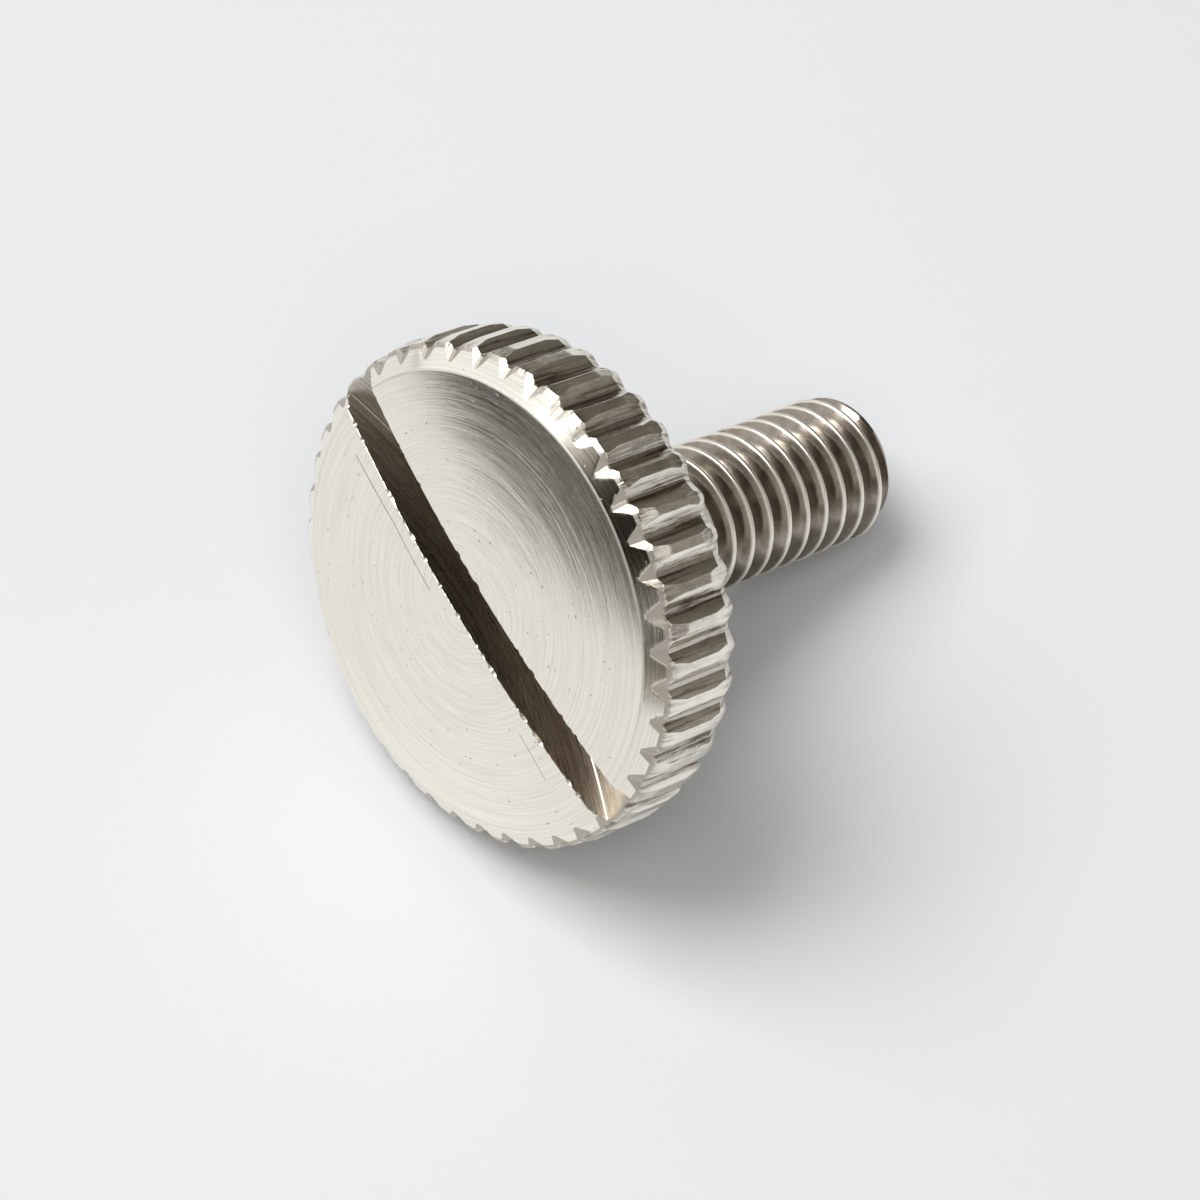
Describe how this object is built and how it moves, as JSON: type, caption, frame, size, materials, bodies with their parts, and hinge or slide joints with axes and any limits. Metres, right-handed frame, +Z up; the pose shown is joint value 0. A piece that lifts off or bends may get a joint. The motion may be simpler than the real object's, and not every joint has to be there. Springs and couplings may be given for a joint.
{
  "type": "thumb screw",
  "caption": "Flat round thumb screw with a straight-knurled rim, a domed slotted face and a threaded metal shank, lying on its rim and tip.",
  "frame": {"origin": "on the surface the screw lies on, under the middle of its length and width", "axes": "+Z up; +X the way the shank points seen from above. The screw's own axis lies in the XZ plane and points 22.8 degrees down from +X"},
  "size_m": [0.0156, 0.0134, 0.013],
  "materials": {
    "turned_steel": "bright turned, fine turning rings on the face, light scratches and pits"
  },
  "bodies": {
    "root": {"thumb_screw": "turned_steel"}
  },
  "joints": []
}
